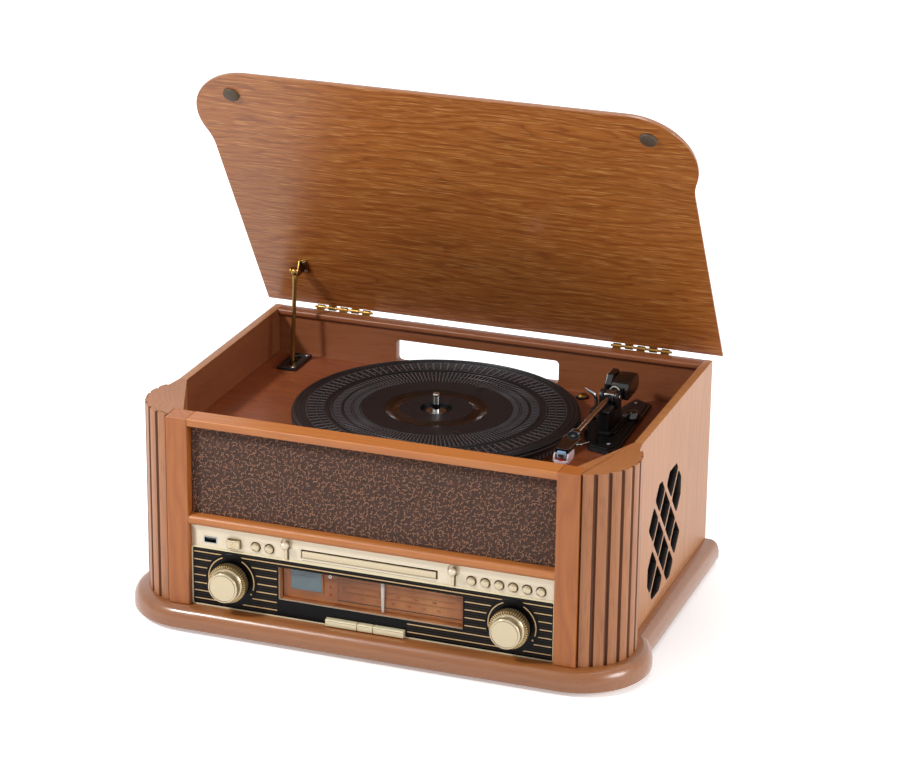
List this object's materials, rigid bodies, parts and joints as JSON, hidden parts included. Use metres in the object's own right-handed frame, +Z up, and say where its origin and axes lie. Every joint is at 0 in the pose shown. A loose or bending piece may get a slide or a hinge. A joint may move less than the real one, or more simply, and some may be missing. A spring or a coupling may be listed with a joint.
{
  "type": "wooden tabletop music centre",
  "caption": "Wooden tabletop music centre with a hinged lid, belt-driven turntable, dial radio, disc tray, knobs and keys on a recessed front panel.",
  "frame": {"origin": "centre of the bounding box at the bottom of the feet, with the lid open as at rest", "axes": "+X to the listener's right, +Y from the front panel to the back wall, +Z up along the record spindle"},
  "size_m": [0.4972, 0.3482, 0.4864],
  "materials": {
    "cabinet_wood": "satin stain",
    "front_wood": "satin stain",
    "base_wood": "satin lacquer",
    "lid_wood": "satin lacquer",
    "rubber_black": "matte",
    "mat_rubber": "satin",
    "grille": "woven",
    "speaker_steel": "satin",
    "panel_champagne": "satin metallic paint",
    "button_champagne": "satin",
    "black_gloss": "gloss",
    "black_matte": "fine texture",
    "dial_glass": "clear",
    "dial_amber": "satin",
    "lcd": "gloss",
    "pointer_clear": "gloss",
    "steel": "polished",
    "motor_steel": "brushed",
    "board_green": "satin",
    "brass": "satin",
    "cartridge_white": "gloss"
  },
  "bodies": {
    "cabinet": {"front_frame": "front_wood", "corner_columns": "cabinet_wood", "side_walls": "cabinet_wood", "back_wall": "cabinet_wood", "base_moulding": "base_wood", "feet": "rubber_black", "deck_board": "cabinet_wood", "speaker_baffle": "cabinet_wood", "grille_cloth": "grille", "speakers": "speaker_steel", "control_panel": "panel_champagne", "knob_escutcheons": "black_gloss", "dial_glass": "dial_glass", "dial_scale": "dial_amber", "lcd_module": "lcd", "dial_cord": "rubber_black", "disc_drive": "black_matte", "data_socket": "steel", "control_board": "board_green", "amplifier": "board_green", "rear_panel": "black_matte", "bearing_housing": "motor_steel", "motor": "motor_steel", "drive_belt": "rubber_black", "arm_base": "black_matte", "cabinet_hinge_leaves": "brass", "deck_fittings": "black_matte"},
    "turntable": {"platter": "black_matte", "slip_mat": "mat_rubber", "spindle": "steel"},
    "motor_pulley": {"motor_pulley": "brass"},
    "lid": {"lid_panel": "lid_wood", "lid_fittings": "brass", "lid_hinge_leaves": "brass"},
    "stay": {"stay_rod": "brass"},
    "arm_swivel": {"arm_yoke": "black_matte"},
    "tonearm": {"arm_tube": "steel", "headshell": "black_gloss", "cartridge": "cartridge_white", "counterweight": "black_gloss"},
    "cue_lever": {"cue_lever": "steel"},
    "anti_skate_dial": {"anti_skate_dial": "black_gloss"},
    "volume_knob": {"volume_knob": "button_champagne"},
    "tuning_knob": {"tuning_knob": "button_champagne"},
    "dial_pointer": {"dial_pointer": "pointer_clear"},
    "power_button": {"power_button": "button_champagne"},
    "left_button_1": {"left_button_1": "button_champagne"},
    "left_button_2": {"left_button_2": "button_champagne"},
    "right_button_1": {"right_button_1": "button_champagne"},
    "right_button_2": {"right_button_2": "button_champagne"},
    "right_button_3": {"right_button_3": "button_champagne"},
    "right_button_4": {"right_button_4": "button_champagne"},
    "right_button_5": {"right_button_5": "button_champagne"},
    "right_button_6": {"right_button_6": "button_champagne"},
    "left_lever_key": {"left_lever_key": "button_champagne"},
    "right_lever_key": {"right_lever_key": "button_champagne"},
    "band_key_1": {"band_key_1": "button_champagne"},
    "band_key_2": {"band_key_2": "button_champagne"},
    "band_key_3": {"band_key_3": "button_champagne"},
    "disc_tray": {"disc_tray": "button_champagne"}
  },
  "joints": [
    {"name": "lid_hinge", "type": "hinge", "parent": "cabinet", "child": "lid", "pos_m": [0, 0.16742, 0.2073], "axis": [1, 0, 0], "range_deg": [0, 57.4]},
    {"name": "stay_swing", "type": "hinge", "parent": "lid", "child": "stay", "pos_m": [-0.189, 0.12967, 0.25426], "axis": [1, 0, 0], "range_deg": [-33, 0.5]},
    {"name": "platter_spin", "type": "hinge", "parent": "cabinet", "child": "turntable", "pos_m": [0, 0.01642, 0.1713], "axis": [0, 0, -1], "continuous": true},
    {"name": "motor_spin", "type": "hinge", "parent": "cabinet", "child": "motor_pulley", "pos_m": [-0.09256, 0.03779, 0.1663], "axis": [0, 0, -1], "continuous": true},
    {"name": "arm_yaw", "type": "hinge", "parent": "cabinet", "child": "arm_swivel", "pos_m": [0.152, 0.07142, 0.1925], "axis": [0, 0, -1], "range_deg": [0, 50]},
    {"name": "arm_lift", "type": "hinge", "parent": "arm_swivel", "child": "tonearm", "pos_m": [0.152, 0.07142, 0.1925], "axis": [-1, 0, 0], "range_deg": [0, 5]},
    {"name": "cue_lever_turn", "type": "hinge", "parent": "cabinet", "child": "cue_lever", "pos_m": [0.142, 0.06842, 0.1773], "axis": [-1, 0, 0], "range_deg": [0, 40]},
    {"name": "anti_skate_turn", "type": "hinge", "parent": "cabinet", "child": "anti_skate_dial", "pos_m": [0.168, 0.09142, 0.1683], "axis": [0, 0, 1], "range_deg": [0, 270]},
    {"name": "volume_turn", "type": "hinge", "parent": "cabinet", "child": "volume_knob", "pos_m": [-0.135, -0.15858, 0.0525], "axis": [0, 1, 0], "range_deg": [-150, 150]},
    {"name": "tuning_turn", "type": "hinge", "parent": "cabinet", "child": "tuning_knob", "pos_m": [0.135, -0.15858, 0.0525], "axis": [0, 1, 0], "range_deg": [-275, 475]},
    {"name": "pointer_slide", "type": "slide", "parent": "cabinet", "child": "dial_pointer", "axis": [1, 0, 0], "range_m": [-0.0438, 0.0752]},
    {"name": "power_button_press", "type": "slide", "parent": "cabinet", "child": "power_button", "axis": [0, 1, 0], "range_m": [0, 0.001], "stiffness_N_per_m": 400, "springref_m": -0.0005},
    {"name": "left_button_1_press", "type": "slide", "parent": "cabinet", "child": "left_button_1", "axis": [0, 1, 0], "range_m": [0, 0.001], "stiffness_N_per_m": 400, "springref_m": -0.0005},
    {"name": "left_button_2_press", "type": "slide", "parent": "cabinet", "child": "left_button_2", "axis": [0, 1, 0], "range_m": [0, 0.001], "stiffness_N_per_m": 400, "springref_m": -0.0005},
    {"name": "right_button_1_press", "type": "slide", "parent": "cabinet", "child": "right_button_1", "axis": [0, 1, 0], "range_m": [0, 0.001], "stiffness_N_per_m": 400, "springref_m": -0.0005},
    {"name": "right_button_2_press", "type": "slide", "parent": "cabinet", "child": "right_button_2", "axis": [0, 1, 0], "range_m": [0, 0.001], "stiffness_N_per_m": 400, "springref_m": -0.0005},
    {"name": "right_button_3_press", "type": "slide", "parent": "cabinet", "child": "right_button_3", "axis": [0, 1, 0], "range_m": [0, 0.001], "stiffness_N_per_m": 400, "springref_m": -0.0005},
    {"name": "right_button_4_press", "type": "slide", "parent": "cabinet", "child": "right_button_4", "axis": [0, 1, 0], "range_m": [0, 0.001], "stiffness_N_per_m": 400, "springref_m": -0.0005},
    {"name": "right_button_5_press", "type": "slide", "parent": "cabinet", "child": "right_button_5", "axis": [0, 1, 0], "range_m": [0, 0.001], "stiffness_N_per_m": 400, "springref_m": -0.0005},
    {"name": "right_button_6_press", "type": "slide", "parent": "cabinet", "child": "right_button_6", "axis": [0, 1, 0], "range_m": [0, 0.001], "stiffness_N_per_m": 400, "springref_m": -0.0005},
    {"name": "band_key_1_press", "type": "slide", "parent": "cabinet", "child": "band_key_1", "axis": [0, 1, 0], "range_m": [0, 0.001], "stiffness_N_per_m": 400, "springref_m": -0.0005},
    {"name": "band_key_2_press", "type": "slide", "parent": "cabinet", "child": "band_key_2", "axis": [0, 1, 0], "range_m": [0, 0.001], "stiffness_N_per_m": 400, "springref_m": -0.0005},
    {"name": "band_key_3_press", "type": "slide", "parent": "cabinet", "child": "band_key_3", "axis": [0, 1, 0], "range_m": [0, 0.001], "stiffness_N_per_m": 400, "springref_m": -0.0005},
    {"name": "left_lever_key_tip", "type": "hinge", "parent": "cabinet", "child": "left_lever_key", "pos_m": [-0.0806, -0.14558, 0.082], "axis": [-1, 0, 0], "range_deg": [0, 8], "stiffness_Nm_per_rad": 0.05, "springref_deg": -5.73},
    {"name": "right_lever_key_tip", "type": "hinge", "parent": "cabinet", "child": "right_lever_key", "pos_m": [0.0793, -0.14558, 0.082], "axis": [-1, 0, 0], "range_deg": [0, 8], "stiffness_Nm_per_rad": 0.05, "springref_deg": -5.73},
    {"name": "tray_slide", "type": "slide", "parent": "cabinet", "child": "disc_tray", "axis": [0, -1, 0], "range_m": [0, 0.132]}
  ],
  "couplings": [
    {"joint": "stay_swing", "follows": "lid_hinge", "ratio": -0.5662},
    {"joint": "motor_spin", "follows": "platter_spin", "ratio": 11.088},
    {"joint": "cue_lever_turn", "follows": "arm_lift", "ratio": 8},
    {"joint": "pointer_slide", "follows": "tuning_turn", "m_per_rad": 0.009}
  ]
}
